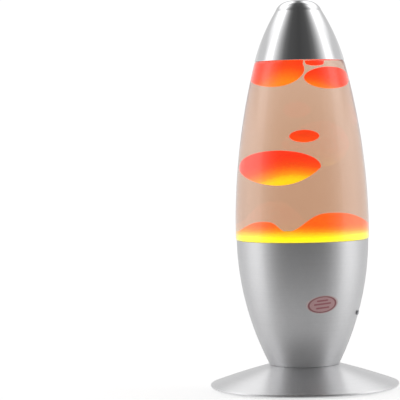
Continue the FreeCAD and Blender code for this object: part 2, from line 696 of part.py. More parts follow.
def cord_grommet():
    """A rubber grommet at the back, in a hole square to the shell's wall."""
    inner_z = -SHEET - GROMMET_SAG
    neck_r = GROMMET_HOLE - SNUG_GAP
    top_z = SNUG_GAP + GROMMET_FLANGE_HEIGHT
    outline = Outline(GROMMET_BORE, inner_z - GROMMET_FLANGE_HEIGHT)
    outline.line((GROMMET_FLANGE, inner_z - GROMMET_FLANGE_HEIGHT), (GROMMET_FLANGE, inner_z))
    outline.line((neck_r, inner_z), (neck_r, SNUG_GAP), (GROMMET_FLANGE, SNUG_GAP))
    outline.line((GROMMET_FLANGE - FEET_BARB, top_z), (GROMMET_BORE, top_z))
    return on_body_wall(outline.turned(), GROMMET_AZIMUTH, GROMMET_Z)


def label_sticker():
    """An oval sticker that follows the shell's double curve."""
    low = LABEL_Z - 2 * LABEL_HALF_SIZES[1]
    high = LABEL_Z + 2 * LABEL_HALF_SIZES[1]
    back = -LABEL_LIFT
    front = back - LABEL_THICKNESS
    skin = Outline(body_wall.r(low, back), low).along(body_wall, high, back)
    skin = skin.line((body_wall.r(high, front), high)).along(body_wall, low, front).turned()
    oval = Part.Face(Part.Wire(Part.Ellipse(ORIGIN, *LABEL_HALF_SIZES).toShape()))
    prism = oval.extrude(UP * 2 * DRILL_REACH).translated(UP * -DRILL_REACH).rotated(ORIGIN, UP, LABEL_TILT)
    return skin.common(on_body_wall(prism, LABEL_AZIMUTH, LABEL_Z))


def main():
    os.makedirs("parts", exist_ok=True)

    for piece in (top_cap, bottle, bottle_neck, bottle_closure, closure_seal, heat_coil, wax_pool, liquid):
        save(piece.__name__, piece())
    save("wax_film", ellipsoid(*FILM))
    for node, (centre, half_sizes) in BLOBS.items():
        save(node, ellipsoid(centre, half_sizes))

    for piece in (body_shell, bottle_seat_ring, seat_gasket, holder_bracket, side_screws, threaded_tube):
        save(piece.__name__, piece())
    bracket_top_z = JOINT_Z + SHEET + STRAP
    save("upper_lock_washer", toothed_washer(bracket_top_z))
    save("upper_nut", tube_nut(bracket_top_z + WASHER_HEIGHT))
    lower_washer_z = COVER_Z + COVER_DISH_RISE - WASHER_HEIGHT
    save("lower_washer", plain_washer(lower_washer_z))
    save("lower_nut", tube_nut(lower_washer_z - NUT_HEIGHT))

    for piece in (holder_base, holder_insulator, holder_sleeve, holder_screw_shell, holder_contact):
        save(piece.__name__, piece())
    for piece in (bulb_envelope, bulb_screw_shell, bulb_insulator, bulb_contact, bulb_stem, bulb_filament):
        save(piece.__name__, piece())

    for piece in (base_foot, bottom_cover, cord_grommet, label_sticker):
        save(piece.__name__, piece())
    for number, place in enumerate(feet_places(), 1):
        save("rubber_foot_%d" % number, rubber_foot(place))


main()
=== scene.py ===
import math

import bpy
from mathutils import Matrix, Vector


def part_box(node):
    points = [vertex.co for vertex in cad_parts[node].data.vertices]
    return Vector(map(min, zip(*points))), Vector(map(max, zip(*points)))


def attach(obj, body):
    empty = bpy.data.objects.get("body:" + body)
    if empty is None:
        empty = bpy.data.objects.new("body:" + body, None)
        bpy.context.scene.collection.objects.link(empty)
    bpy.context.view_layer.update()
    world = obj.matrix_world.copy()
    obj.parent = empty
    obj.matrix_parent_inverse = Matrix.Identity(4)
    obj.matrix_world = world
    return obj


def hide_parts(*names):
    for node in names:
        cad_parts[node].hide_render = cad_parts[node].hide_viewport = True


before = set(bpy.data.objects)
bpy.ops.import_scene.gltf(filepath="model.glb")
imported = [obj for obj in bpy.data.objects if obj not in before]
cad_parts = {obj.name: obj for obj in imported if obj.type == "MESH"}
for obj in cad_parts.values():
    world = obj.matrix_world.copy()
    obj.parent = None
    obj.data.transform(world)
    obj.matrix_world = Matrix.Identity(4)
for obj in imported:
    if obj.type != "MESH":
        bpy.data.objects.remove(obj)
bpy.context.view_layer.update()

# Lava lamp: looks, in metres, in the CAD model's frame. +Z is up and the front faces -Y.

# Pieces that lie against each other stay this far apart
FREE_GAP = 0.0003

# Heights and radii that the frame gives
BODY_LOW, BODY_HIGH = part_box("body_shell")
BOTTLE_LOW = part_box("bottle")[0]
BOTTLE_TOP_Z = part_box("bottle_neck")[1].z
CAP_LOW, CAP_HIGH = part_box("top_cap")
COLLAR_Z = BODY_HIGH.z
CAP_EDGE_Z = CAP_LOW.z - FREE_GAP
CAP_EDGE_RADIUS = CAP_HIGH.x
LIQUID_TOP_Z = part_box("liquid")[1].z

# The bottle's outline, as the CAD part has it
GLASS_WALL = 0.003
GLASS_RADIUS = 0.0707
GLASS_SAGITTA = 0.0064
FOOT_RADIUS = 0.0605
RIM_RADIUS = 0.068
LOWER_SAGITTA = 0.001
PUNT_RADIUS = 0.050
PUNT_RISE = 0.006
HEEL_RADIUS = 0.007
HEEL_SHRINK = 0.67
SHOULDER_R = 0.0234
SHOULDER_Z = 0.342
SHOULDER_CURVE = 0.022
NECK_RADIUS = 0.0133
NECK_CURVE = 0.012

# Its outer face steps out over the collar and back in under the cap, and the inner face passes both smoothly
LEDGE_DROP = 0.0002
LEDGE_EDGE_WIDTH = 0.0008
LEDGE_EDGE_HEIGHT = 0.0010
LEDGE_END = 0.002
CAP_STEP_WIDTH = 0.0006
CAP_STEP_HEIGHT = 0.0008
CAP_STEP_RISE = 0.0003
CAP_STEP_OVERHANG = 0.0002
INNER_PAST_COLLAR = 0.003
INNER_BELOW_CAP = 0.006

# The shoulder's arc starts this far above its centre, and the inner wall is measured from above the heel
SHOULDER_SKIP = 0.003
HEEL_CLEAR = 0.004

# Glass and liquid: the liquid reaches a little way into the glass
GLASS_COAT_IOR = 1.5
LIQUID_IOR = 1.36
# The liquid's emission is a painted glow that stands in for the bulb's light in it
LIQUID_GLOW = 0.095
LIQUID_OVERLAP = 0.0004

# Camera: a long lens, a little above the middle, turned so that the lamp stands right of centre
CAMERA_DISTANCE = 2.0
CAMERA_HEIGHT = 0.2754
CAMERA_YAW = math.radians(3.090)
CAMERA_PITCH = math.radians(2.145)
CAMERA_ROLL = math.radians(-1.109)
CAMERA_LENS = 169.6
CAMERA_SENSOR = 36.0
CAMERA_REACH = 50.0

# Sticker: half its width and height and its tilt in degrees. The rest are shares of its half sizes: its bars
# (height, half length), half their thickness, and where the ring and the border start and are full
LABEL_HALF_SIZES = (0.0175, 0.0097)
LABEL_TILT = 5.0
LABEL_BARS = [(0.42, 0.34), (0.06, 0.52), (-0.36, 0.40)]
LABEL_BAR_HALF = 0.085
LABEL_RING = (0.76, 0.80)
LABEL_BORDER = (0.87, 0.93)

# Mesh fineness: steps round an axis for large and small pieces, then along each kind of outline. A ring
# narrower than the last value is a pole
SEGMENTS = 192
SMALL_SEGMENTS = 96
ARC_STEPS = 12
LOWER_STEPS = 12
GLASS_STEPS = 48
BLOB_STEPS = 64
POOL_SIDE_STEPS = 12
POOL_TOP_STEPS = 40
POLE_RADIUS = 1e-6

FLOOR_RADIUS = 6.0
FLOOR_GLOW = 0.52
BACKGROUND_LEVEL = 1.05

# Light from round the lamp, level with it and from below: (degrees from the front, brightness)
TENT_LEVEL = [(0, 0.06), (28, 0.08), (42, 0.14), (54, 0.36), (65, 0.68), (71, 0.88), (77, 1.38), (90, 1.50),
              (106, 1.30), (120, 0.92), (138, 0.76), (180, 0.76)]
TENT_BELOW = [(0, 0.50), (40, 0.54), (70, 0.66), (100, 0.80), (130, 0.74), (180, 0.70)]
TENT_LEAN = 0.15
TENT_LOW_BACK = 0.62
TENT_TOP = 1.30
TENT_DARK_TOP = (0.08, 0.22)
TENT_PEAK = 2.0

# Where one part of the tent gives way to the next: ranges of a direction's z (up) or y (away from the camera)
TENT_DOWNWARD_Z = (-0.15, -0.60)
TENT_BEHIND_Y = (0.0, 0.4)
TENT_LOW_BACK_Z = (0.15, 0.25)
TENT_OVERHEAD_Z = (0.38, 0.62)
TENT_STRIPE_Z = (0.25, 0.50)
TENT_STRIPE_Y = (-0.35, -0.05)
TENT_STRIPE_DARK_Y = (0.20, 0.60)
TENT_STRIPE_WIDTH_Y = (0.15, 0.60)
TENT_STRIPE_HALF_WIDTH = (0.42, 0.11)
TENT_STRIPE_EDGE = (1.7, 0.3)
TENT_LEAST_RISE = 0.2

# Right-handed screw threads: pitches, depths and steps per turn, then the walls of both pieces and the nuts
EDISON_PITCH = 0.002822
EDISON_DEPTH = 0.00045
TUBE_PITCH = 0.001
TUBE_THREAD_DEPTH = 0.0004
THREAD_STEPS = 12
EDISON_WALL = 0.0003
TUBE_WALL = 0.0012
NUT_BORE = 0.00502
NUT_CHAMFER = 0.0003
NUT_CHAMFER_SLOPE = 0.6

# Wire spring in the wax
COIL_WIRE_RADIUS = 0.0003
COIL_WIRE_SIDES = 8
COIL_TURNS = 100
COIL_TURN_STEPS = 16

# Wax pool: a level with mounds (x, y, rise, width to the left, width to the right, depth)
POOL_FLOOR_Z = BOTTLE_LOW.z + 0.012
POOL_LEVEL = 0.1637
POOL_MOUNDS = [(-0.029, 0.0, 0.0125, 0.020, 0.012, 0.022), (0.024, 0.0, 0.0207, 0.025, 0.033, 0.032)]
POOL_INSET = GLASS_WALL + FREE_GAP
# Painted bulb light on the pool: fullest this far below its level, dimmest this far above it
POOL_FULLY_LIT_BELOW = 0.0045
POOL_DIMMEST_ABOVE = 0.0105
POOL_EDGE_PASSES = 4


# ---- geometry helpers ----

def mesh_object(name, vertices, faces):
    mesh = bpy.data.meshes.new(name)
    mesh.from_pydata(vertices, [], faces)
    mesh.validate()
    mesh.polygons.foreach_set("use_smooth", [True] * len(mesh.polygons))
    obj = bpy.data.objects.new(name, mesh)
    bpy.context.scene.collection.objects.link(obj)
    return obj


def ring_faces(rings, closed=False):
    """Quads between neighbouring rings of vertex numbers, with poles given as repeated numbers."""
    faces = []
    pairs = list(zip(rings, rings[1:]))
    if closed:
        pairs.append((rings[-1], rings[0]))
    for low, high in pairs:
        for i in range(len(low)):
            j = (i + 1) % len(low)
            face = [low[i], low[j], high[j], high[i]]
            face = [v for k, v in enumerate(face) if v not in face[:k]]
            if len(face) > 2:
                faces.append(face)
    return faces


def surface_round(name, levels, radius_at, closed=False, segments=SEGMENTS):
    """A surface round Z: radius_at(level, angle) gives (radius, height), and a radius of 0 is a pole."""
    vertices = []
    rings = []
    for level in levels:
        if radius_at(level, 0.0)[0] < POLE_RADIUS:
            rings.append([len(vertices)] * segments)
            vertices.append((0, 0, radius_at(level, 0.0)[1]))
            continue
        rings.append(list(range(len(vertices), len(vertices) + segments)))
        for i in range(segments):
            a = 2 * math.pi * i / segments
            r, z = radius_at(level, a)
            vertices.append((r * math.cos(a), r * math.sin(a), z))
    return mesh_object(name, vertices, ring_faces(rings, closed))


def lathe(name, outline):
    """Turns an outline of (radius, height) points about Z."""
    return surface_round(name, outline, lambda point, a: point)


def fluted(name, outline, flutes, flute_steps):
    """Turns a closed outline of (radius, height, flute depth) points about Z."""
    def wavy(point, a):
        r, z, depth = point
        return r - depth * (0.5 - 0.5 * math.cos(flutes * a)), z
    return surface_round(name, outline, wavy, True, flutes * flute_steps)


def threaded(name, radius, wall, depth, pitch, low, high, inner_thread=True):
    """A tube with a right-hand screw thread outside and, on pressed sheet, inside too."""
    rows = round((high - low) / pitch * THREAD_STEPS)
    heights = [low + (high - low) * i / rows for i in range(rows + 1)]
    levels = [(z, 0.0) for z in heights] + [(z, wall) for z in reversed(heights)]

    def screw(level, a):
        z, inset = level
        wave = 0.5 - 0.5 * math.cos(2 * math.pi * z / pitch - a)
        fade = min(1.0, (z - low) / pitch, (high - z) / pitch)
        sunk = depth * wave * fade
        if inset and not inner_thread:
            sunk = 0.0
        return radius - inset - sunk, z

    return surface_round(name, levels, screw, True, SMALL_SEGMENTS)


def tube_along(name, points, radius):
    """A closed round wire along a loop of points."""
    count = len(points)
    sides = COIL_WIRE_SIDES
    vertices = []
    rings = []
    for i, point in enumerate(points):
        along = (points[(i + 1) % count] - points[i - 1]).normalized()
        out = Vector((point.x, point.y, 0)).normalized()
        side = along.cross(out).normalized()
        up = side.cross(along)
        rings.append(list(range(len(vertices), len(vertices) + sides)))
        for k in range(sides):
            a = 2 * math.pi * k / sides
            vertices.append(point + side * (radius * math.cos(a)) + up * (radius * math.sin(a)))
    return mesh_object(name, vertices, ring_faces(rings, closed=True))


def hexagonal_nut(name, flats, bore, low, high):
    """A nut with its corners chamfered on both faces."""
    def edge(a):
        turn = (a + math.pi / 6) % (math.pi / 3) - math.pi / 6
        return flats / 2 / math.cos(turn)

    def face(level, a):
        kind, z, inwards = level
        if kind == "bore":
            return bore, z
        if kind == "flat":
            return flats / 2 - NUT_CHAMFER, z
        return edge(a), z + inwards * (edge(a) - flats / 2 + NUT_CHAMFER) * NUT_CHAMFER_SLOPE

    levels = [("bore", low, 0), ("flat", low, 0), ("edge", low, 1),
              ("edge", high, -1), ("flat", high, 0), ("bore", high, 0)]
    return surface_round(name, levels, face, True, SMALL_SEGMENTS)


def blob(name, node, tip_rise=0.0, top=0.5, bottom_left=0.5, bottom_right=0.5):
    """A wax blob in its node's box. Powers over 0.5 sharpen its rim, and its right tip may rise."""
    low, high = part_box(node)
    centre = (low + high) / 2
    half = (high - low) / 2

    def swell(level, a):
        spread = math.sin(level)
        x = spread * math.cos(a)
        middle = tip_rise * (x + 1)
        share = 0.5 + 0.5 * x
        lower = bottom_left + (bottom_right - bottom_left) * share * share * (3 - 2 * share)
        if level < math.pi / 2:
            return spread, middle + (1 - middle) * math.cos(level) ** (2 * top)
        return spread, middle - (1 + middle) * abs(math.cos(level)) ** (2 * lower)

    levels = [math.pi * i / BLOB_STEPS for i in range(BLOB_STEPS + 1)]
    piece = surface_round(name, levels, swell, segments=SMALL_SEGMENTS)
    for vertex in piece.data.vertices:
        vertex.co = [centre[k] + half[k] * vertex.co[k] for k in range(3)]
    return piece


class Bulge:
    """A side wall's arc between two outline points, bowed outwards by a sagitta."""

    def __init__(self, low, high, sagitta):
        chord = math.dist(low, high)
        self.radius = chord * chord / (8 * sagitta) + sagitta / 2
        out_r = (high[1] - low[1]) / chord
        out_z = (low[0] - high[0]) / chord
        self.centre_r = (low[0] + high[0]) / 2 + out_r * (sagitta - self.radius)
        self.centre_z = (low[1] + high[1]) / 2 + out_z * (sagitta - self.radius)

    def r(self, z, inset=0.0):
        reach = self.radius - inset
        return self.centre_r + math.sqrt(reach * reach - (z - self.centre_z) ** 2)

    def points(self, low, high, inset, count):
        heights = [low + (high - low) * i / count for i in range(count + 1)]
        return [(self.r(z, inset), z) for z in heights]


def arc_points(centre, radius, start, end):
    angles = [start + (end - start) * i / ARC_STEPS for i in range(ARC_STEPS + 1)]
    return [(centre[0] + radius * math.cos(a), centre[1] + radius * math.sin(a)) for a in angles]


def dome_points(edge_r, edge_z, apex_z):
    """A spherical cap, from the axis out to its edge."""
    rise = apex_z - edge_z
    radius = (edge_r * edge_r + rise * rise) / (2 * rise)
    span = math.asin(edge_r / abs(radius))
    turns = [span * i / ARC_STEPS for i in range(ARC_STEPS + 1)]
    return [(abs(radius) * math.sin(a), apex_z - radius * (1 - math.cos(a))) for a in turns]


GLASS = Bulge((GLASS_RADIUS, COLLAR_Z), (CAP_EDGE_RADIUS, CAP_EDGE_Z), GLASS_SAGITTA)
LOWER = Bulge((FOOT_RADIUS, BOTTLE_LOW.z), (RIM_RADIUS, COLLAR_Z), LOWER_SAGITTA)


def vessel_outline(inset, top_z, ledge=False):
    """The bottle's wall at a depth inside its outer face, from the bottom's centre up to the neck."""
    foot_z = BOTTLE_LOW.z + inset
    heel = HEEL_RADIUS - inset * HEEL_SHRINK
    punt = PUNT_RADIUS - inset
    outline = dome_points(punt, foot_z, foot_z + PUNT_RISE)
    side_r = LOWER.r(foot_z + heel, inset)
    outline += arc_points((side_r - heel, foot_z + heel), heel, -math.pi / 2, 0)
    outline += LOWER.points(foot_z + heel, COLLAR_Z - LEDGE_END, inset, LOWER_STEPS)[1:]
    if ledge:
        outline.append((LOWER.r(COLLAR_Z), COLLAR_Z + FREE_GAP - LEDGE_DROP))
        outline.append((GLASS.r(COLLAR_Z) - LEDGE_EDGE_WIDTH, COLLAR_Z + FREE_GAP))
        outline.append((GLASS.r(COLLAR_Z), COLLAR_Z + LEDGE_EDGE_HEIGHT))
        outline += GLASS.points(COLLAR_Z + LEDGE_END, CAP_EDGE_Z - CAP_STEP_HEIGHT, inset, GLASS_STEPS)
        outline.append((GLASS.r(CAP_EDGE_Z) - CAP_STEP_WIDTH, CAP_EDGE_Z))
        outline.append((SHOULDER_R + SHOULDER_CURVE + CAP_STEP_OVERHANG, CAP_EDGE_Z + CAP_STEP_RISE))
    else:
        low_z = COLLAR_Z + INNER_PAST_COLLAR
        outline += GLASS.points(low_z, CAP_EDGE_Z - INNER_BELOW_CAP, inset, GLASS_STEPS)
    curve = SHOULDER_CURVE - inset
    reach = SHOULDER_CURVE + NECK_CURVE
    neck_r = NECK_RADIUS + NECK_CURVE
    lean = math.asin((neck_r - SHOULDER_R) / reach)
    neck_z = SHOULDER_Z + reach * math.cos(lean)
    start = math.asin(SHOULDER_SKIP / curve)
    outline += arc_points((SHOULDER_R, SHOULDER_Z), curve, start, math.pi / 2 - lean)
    outline += arc_points((neck_r, neck_z), NECK_CURVE + inset, -math.pi / 2 - lean, -math.pi)[1:]
    outline.append((NECK_RADIUS - inset, top_z))
    return outline


def inner_radius(z, inset):
    """The bottle's inner radius at a height above its heel."""
    heel_z = BOTTLE_LOW.z + GLASS_WALL + HEEL_CLEAR
    points = [p for p in vessel_outline(inset, LIQUID_TOP_Z) if p[1] > heel_z]
    for (r0, z0), (r1, z1) in zip(points, points[1:]):
        if z0 <= z <= z1:
            return r0 + (r1 - r0) * (z - z0) / (z1 - z0)
    return points[0][0]


# ---- materials ----

# Spun metal: lines per metre along the outline, changes per radian round the axis, the weights of fine and
# soft shading, the scatter of roughness, and the share of the cup's height over which its metal fades
SPIN_LINES = 2200.0
SPIN_CHANGES = 0.6
SPIN_FINE = 0.6
SPIN_SOFT = 0.4
SPIN_TONES = (0.30, 0.70)
SPIN_SCATTER = 0.04
SPIN_FADE_SHARE = 0.7

# Plated and moulded stuff: grains per metre, how much wider the slow shading is, and its darkest tone's share
# of the colour
GRAIN_SCALE = 900.0
GRAIN_WIDER = 25
GRAIN_DARK = 0.86
GRAIN_TONES = (0.35, 0.65)
GRAIN_BUMP = 0.1

# Wax: its painted glow and the random patchiness of the painted bulb light on it. A blob's painted light is
# fullest at a spot under it, set towards the axis by this share of its distance, and fades over these
# multiples of its half sizes, from full light to none
WAX_GLOW = 0.76
WAX_CLOUD = 0.16
WAX_LIT_SPOT_SHARE = 0.6
WAX_LIGHT_FALLOFF = (1.3, 2.2, 1.7)
WAX_UNLIT_AT = 1.10
WAX_FULLY_LIT_AT = 0.25

# Bulb: how far below its top the silver ends and the full frost starts, and the glow of its frosted front
BULB_SILVER_END = 0.0140
BULB_FROST_START = 0.0125
BULB_GLOW = 1.6


class Nodes:
    """A new node material, or a world, with short calls for adding and linking nodes."""

    def __init__(self, name, world=False):
        self.material = bpy.data.worlds.new(name) if world else bpy.data.materials.new(name)
        self.material.use_nodes = True
        self.tree = self.material.node_tree
        self.tree.nodes.clear()
        self.output = self.add("ShaderNodeOutputWorld" if world else "ShaderNodeOutputMaterial")

    def add(self, kind, **inputs):
        node = self.tree.nodes.new(kind)
        for name, value in inputs.items():
            self.set(node, name.replace("_", " "), value)
        return node

    def set(self, node, name, value):
        self.feed(node.inputs[name], value)

    def link(self, source, target):
        self.tree.links.new(source, target)

    def feed(self, socket, value):
        """Links another node's output to the socket, or writes a constant on it."""
        if isinstance(value, bpy.types.NodeSocket):
            self.link(value, socket)
        else:
            socket.default_value = value

    def math(self, operation, a, b=0.0, clamp=False):
        node = self.tree.nodes.new("ShaderNodeMath")
        node.operation = operation
        node.use_clamp = clamp
        for socket, value in zip(node.inputs, (a, b)):
            self.feed(socket, value)
        return node.outputs[0]

    def ramp(self, factor, stops):
        node = self.tree.nodes.new("ShaderNodeValToRGB")
        ramp = node.color_ramp
        while len(ramp.elements) < len(stops):
            ramp.elements.new(0.5)
        for element, (place, colour) in zip(ramp.elements, stops):
            element.position = place
            element.color = (*colour, 1)
        self.link(factor, node.inputs[0])
        return node.outputs[0]

    def scaled(self, low, high, value, out_low=0.0, out_high=1.0, smooth=False):
        """value mapped from low..high to out_low..out_high."""
        node = self.tree.nodes.new("ShaderNodeMapRange")
        node.interpolation_type = "SMOOTHSTEP" if smooth else "LINEAR"
        self.link(value, node.inputs["Value"])
        for name, number in zip(("From Min", "From Max", "To Min", "To Max"), (low, high, out_low, out_high)):
            node.inputs[name].default_value = number
        return node.outputs[0]

    def mix(self, factor, a, b):
        """a where factor is 0, b where it is 1, for plain numbers."""
        node = self.tree.nodes.new("ShaderNodeMix")
        for socket, value in zip((node.inputs[0], node.inputs[2], node.inputs[3]), (factor, a, b)):
            self.feed(socket, value)
        return node.outputs[0]

    def mix_colour(self, factor, a, b):
        node = self.tree.nodes.new("ShaderNodeMix")
        node.data_type = "RGBA"
        self.link(factor, node.inputs[0])
        for socket, value in zip((node.inputs[6], node.inputs[7]), (a, b)):
            self.feed(socket, (*value, 1) if isinstance(value, tuple) else value)
        return node.outputs[2]

    def place(self):
        """The surface point's x, y and z in metres."""
        coordinates = self.tree.nodes.new("ShaderNodeTexCoord").outputs["Object"]
        split = self.tree.nodes.new("ShaderNodeSeparateXYZ")
        self.link(coordinates, split.inputs[0])
        return split.outputs

    def surface(self, shader):
        self.link(shader.outputs[0], self.output.inputs["Surface"])
        return self.material


def turned_metal(name, colour, roughness, streak, anisotropy, metallic=1.0, metallic_low=None):
    """Spun aluminium: fine lines run round the axis and smear highlights along the outline."""
    n = Nodes(name)
    x, y, z = n.place()
    around = n.math("ARCTAN2", y, x)
    lines = n.tree.nodes.new("ShaderNodeCombineXYZ")
    n.link(n.math("MULTIPLY", around, SPIN_CHANGES), lines.inputs[0])
    reach = n.math("SQRT", n.math("ADD", n.math("MULTIPLY", x, x), n.math("MULTIPLY", y, y)))
    n.link(n.math("MULTIPLY", z, SPIN_LINES), lines.inputs[1])
    n.link(n.math("MULTIPLY", reach, SPIN_LINES), lines.inputs[2])
    fine = n.add("ShaderNodeTexNoise", Vector=lines.outputs[0], Scale=1.0, Detail=3.0)
    soft = n.add("ShaderNodeTexNoise", Scale=38.0, Detail=4.0)
    shade = n.math("ADD", n.math("MULTIPLY", fine.outputs[0], SPIN_FINE),
                   n.math("MULTIPLY", soft.outputs[0], SPIN_SOFT))
    low = tuple(c * (1 - streak) for c in colour)
    tone = n.ramp(shade, list(zip(SPIN_TONES, (low, colour))))
    rough = n.scaled(0.0, 1.0, shade, roughness - SPIN_SCATTER, roughness + SPIN_SCATTER)
    bump = n.add("ShaderNodeBump", Height=fine.outputs[0], Strength=0.04, Distance=0.0002)
    if metallic_low is not None:
        metallic = n.scaled(BODY_LOW.z, BODY_HIGH.z * SPIN_FADE_SHARE, z, metallic_low, metallic)
    tangent = n.tree.nodes.new("ShaderNodeTangent")
    tangent.direction_type = "RADIAL"
    tangent.axis = "Z"
    shader = n.add("ShaderNodeBsdfPrincipled", Base_Color=tone, Metallic=metallic, Roughness=rough,
                   Normal=bump.outputs[0], Anisotropic=anisotropy, Anisotropic_Rotation=0.25,
                   Tangent=tangent.outputs[0])
    return n.surface(shader)


def clear_glass(name, ior=1.45, coat=0.0):
    n = Nodes(name)
    shader = n.add("ShaderNodeBsdfPrincipled", Base_Color=(1, 1, 1, 1), Roughness=0.0, IOR=ior,
                   Transmission_Weight=1.0, Coat_Weight=coat, Coat_IOR=GLASS_COAT_IOR)
    return n.surface(shader)


def amber_liquid(name, ior):
    n = Nodes(name)
    # The emission paints the bulb's warm light into the liquid, and the volume's absorption gives the amber
    shader = n.add("ShaderNodeBsdfPrincipled", Base_Color=(1, 1, 1, 1), Roughness=0.0, IOR=ior,
                   Transmission_Weight=1.0, Emission_Color=(1.0, 0.27, 0.10, 1),
                   Emission_Strength=LIQUID_GLOW)
    absorb = n.add("ShaderNodeVolumeAbsorption", Color=(0.68, 0.46, 0.21, 1), Density=12.0)
    n.link(absorb.outputs[0], n.output.inputs["Volume"])
    return n.surface(shader)


# Wax colours by painted bulb light: deep red where least lit, through orange, to yellow where most lit
WAX_PAINTED_LIGHT_COLOURS = [(0.0, (1.0, 0.014, 0.0004)), (0.25, (1.0, 0.085, 0.0004)), (0.50, (1.0, 0.24, 0.0010)),
               (0.70, (1.0, 0.42, 0.002)), (0.85, (1.0, 0.74, 0.003)), (1.0, (1.0, 1.0, 0.003))]


def glowing_wax(name, dim_level, lit_level, low_z, high_z=None, node=None):
    """Translucent wax with painted bulb light and a painted glow: brightest and yellowest at low_z, or round
    a blob's underside, and redder and dimmer further off.
    """
    n = Nodes(name)
    x, y, z = n.place()
    if node is None:
        lit = n.scaled(high_z, low_z, z, smooth=True)
    else:
        low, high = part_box(node)
        half = (high - low) / 2
        lit_spot = (low + half) * WAX_LIT_SPOT_SHARE
        wide, deep, tall = WAX_LIGHT_FALLOFF
        steps = ((x, lit_spot.x, half.x * wide), (y, lit_spot.y, half.y * deep), (z, low_z, half.z * tall))
        shares = [n.math("DIVIDE", n.math("SUBTRACT", place, centre), size) for place, centre, size in steps]
        squares = [n.math("MULTIPLY", share, share) for share in shares]
        away = n.math("SQRT", n.math("ADD", n.math("ADD", squares[0], squares[1]), squares[2]))
        lit = n.scaled(WAX_UNLIT_AT, WAX_FULLY_LIT_AT, away, smooth=True)
    cloud = n.add("ShaderNodeTexNoise", Scale=30.0, Detail=2.0)
    drift = n.math("MULTIPLY", n.math("SUBTRACT", cloud.outputs[0], 0.5), WAX_CLOUD)
    # Painted bulb light: its share picks the wax's colour, and the emission paints that colour as a glow
    lighting = n.math("ADD", n.mix(lit, dim_level, lit_level), drift, clamp=True)
    colour = n.ramp(lighting, WAX_PAINTED_LIGHT_COLOURS)
    shader = n.add("ShaderNodeBsdfPrincipled", Base_Color=colour, Roughness=0.5, IOR=1.06,
                   Emission_Color=colour, Emission_Strength=WAX_GLOW, Subsurface_Weight=0.3,
                   Subsurface_Radius=(1.0, 0.35, 0.1), Subsurface_Scale=0.004)
    return n.surface(shader)


def reflector_glass():
    """A reflector bulb: silvered neck and flare, and a frosted front that glows."""
    n = Nodes("reflector_glass")
    z = n.place()[2]
    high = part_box("bulb_envelope")[1]
    front = n.scaled(high.z - BULB_SILVER_END, high.z - BULB_FROST_START, z)
    frost = n.add("ShaderNodeTexNoise", Scale=900.0, Detail=2.0)
    colour = n.mix_colour(front, (0.85, 0.85, 0.86), (0.95, 0.90, 0.80))
    rough = n.mix(front, 0.12, n.scaled(0.3, 0.7, frost.outputs[0], 0.45, 0.6))
    glow = n.mix_colour(front, (0.0, 0.0, 0.0), (1.0, 0.80, 0.50))
    shader = n.add("ShaderNodeBsdfPrincipled", Base_Color=colour, Roughness=rough,
                   Metallic=n.math("SUBTRACT", 1.0, front), Emission_Color=glow, Emission_Strength=BULB_GLOW)
    return n.surface(shader)


def printed_label():
    """An oval paper sticker: a pale border, a dark ring and a few plain bars on pink."""
    n = Nodes("printed_label")
    x, y, z = n.place()
    low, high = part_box("label_sticker")
    centre = (low + high) / 2
    azimuth = math.atan2(centre.y, centre.x)
    across = n.math("ADD", n.math("MULTIPLY", x, -math.sin(azimuth)),
                    n.math("MULTIPLY", y, math.cos(azimuth)))
    upward = n.math("SUBTRACT", z, centre.z)
    tilt = math.radians(LABEL_TILT)
    cosine = math.cos(tilt)
    sine = math.sin(tilt)
    u = n.math("ADD", n.math("MULTIPLY", across, cosine), n.math("MULTIPLY", upward, sine))
    v = n.math("SUBTRACT", n.math("MULTIPLY", upward, cosine), n.math("MULTIPLY", across, sine))
    u_share = n.math("DIVIDE", u, LABEL_HALF_SIZES[0])
    v_share = n.math("DIVIDE", v, LABEL_HALF_SIZES[1])
    squares = [n.math("MULTIPLY", share, share) for share in (u_share, v_share)]
    out = n.math("SQRT", n.math("ADD", *squares))
    fibre = n.add("ShaderNodeTexNoise", Scale=1500.0, Detail=3.0)
    paper = n.ramp(fibre.outputs[0], [(0.3, (0.42, 0.23, 0.24)), (0.7, (0.54, 0.33, 0.33))])
    ink = 0.0
    for height, reach in LABEL_BARS:
        off = n.math("ABSOLUTE", n.math("SUBTRACT", v_share, height))
        near = n.math("LESS_THAN", off, LABEL_BAR_HALF)
        within = n.math("LESS_THAN", n.math("ABSOLUTE", u_share), reach)
        ink = n.math("MAXIMUM", n.math("MULTIPLY", near, within), ink)
    colour = n.mix_colour(ink, paper, (0.32, 0.10, 0.12))
    ring = n.scaled(*LABEL_RING, out)
    colour = n.mix_colour(ring, colour, (0.26, 0.09, 0.10))
    border = n.scaled(*LABEL_BORDER, out)
    colour = n.mix_colour(border, colour, (0.56, 0.47, 0.47))
    bump = n.add("ShaderNodeBump", Height=fibre.outputs[0], Strength=0.2, Distance=0.0001)
    shader = n.add("ShaderNodeBsdfPrincipled", Base_Color=colour, Roughness=0.42, Normal=bump.outputs[0])
    return n.surface(shader)


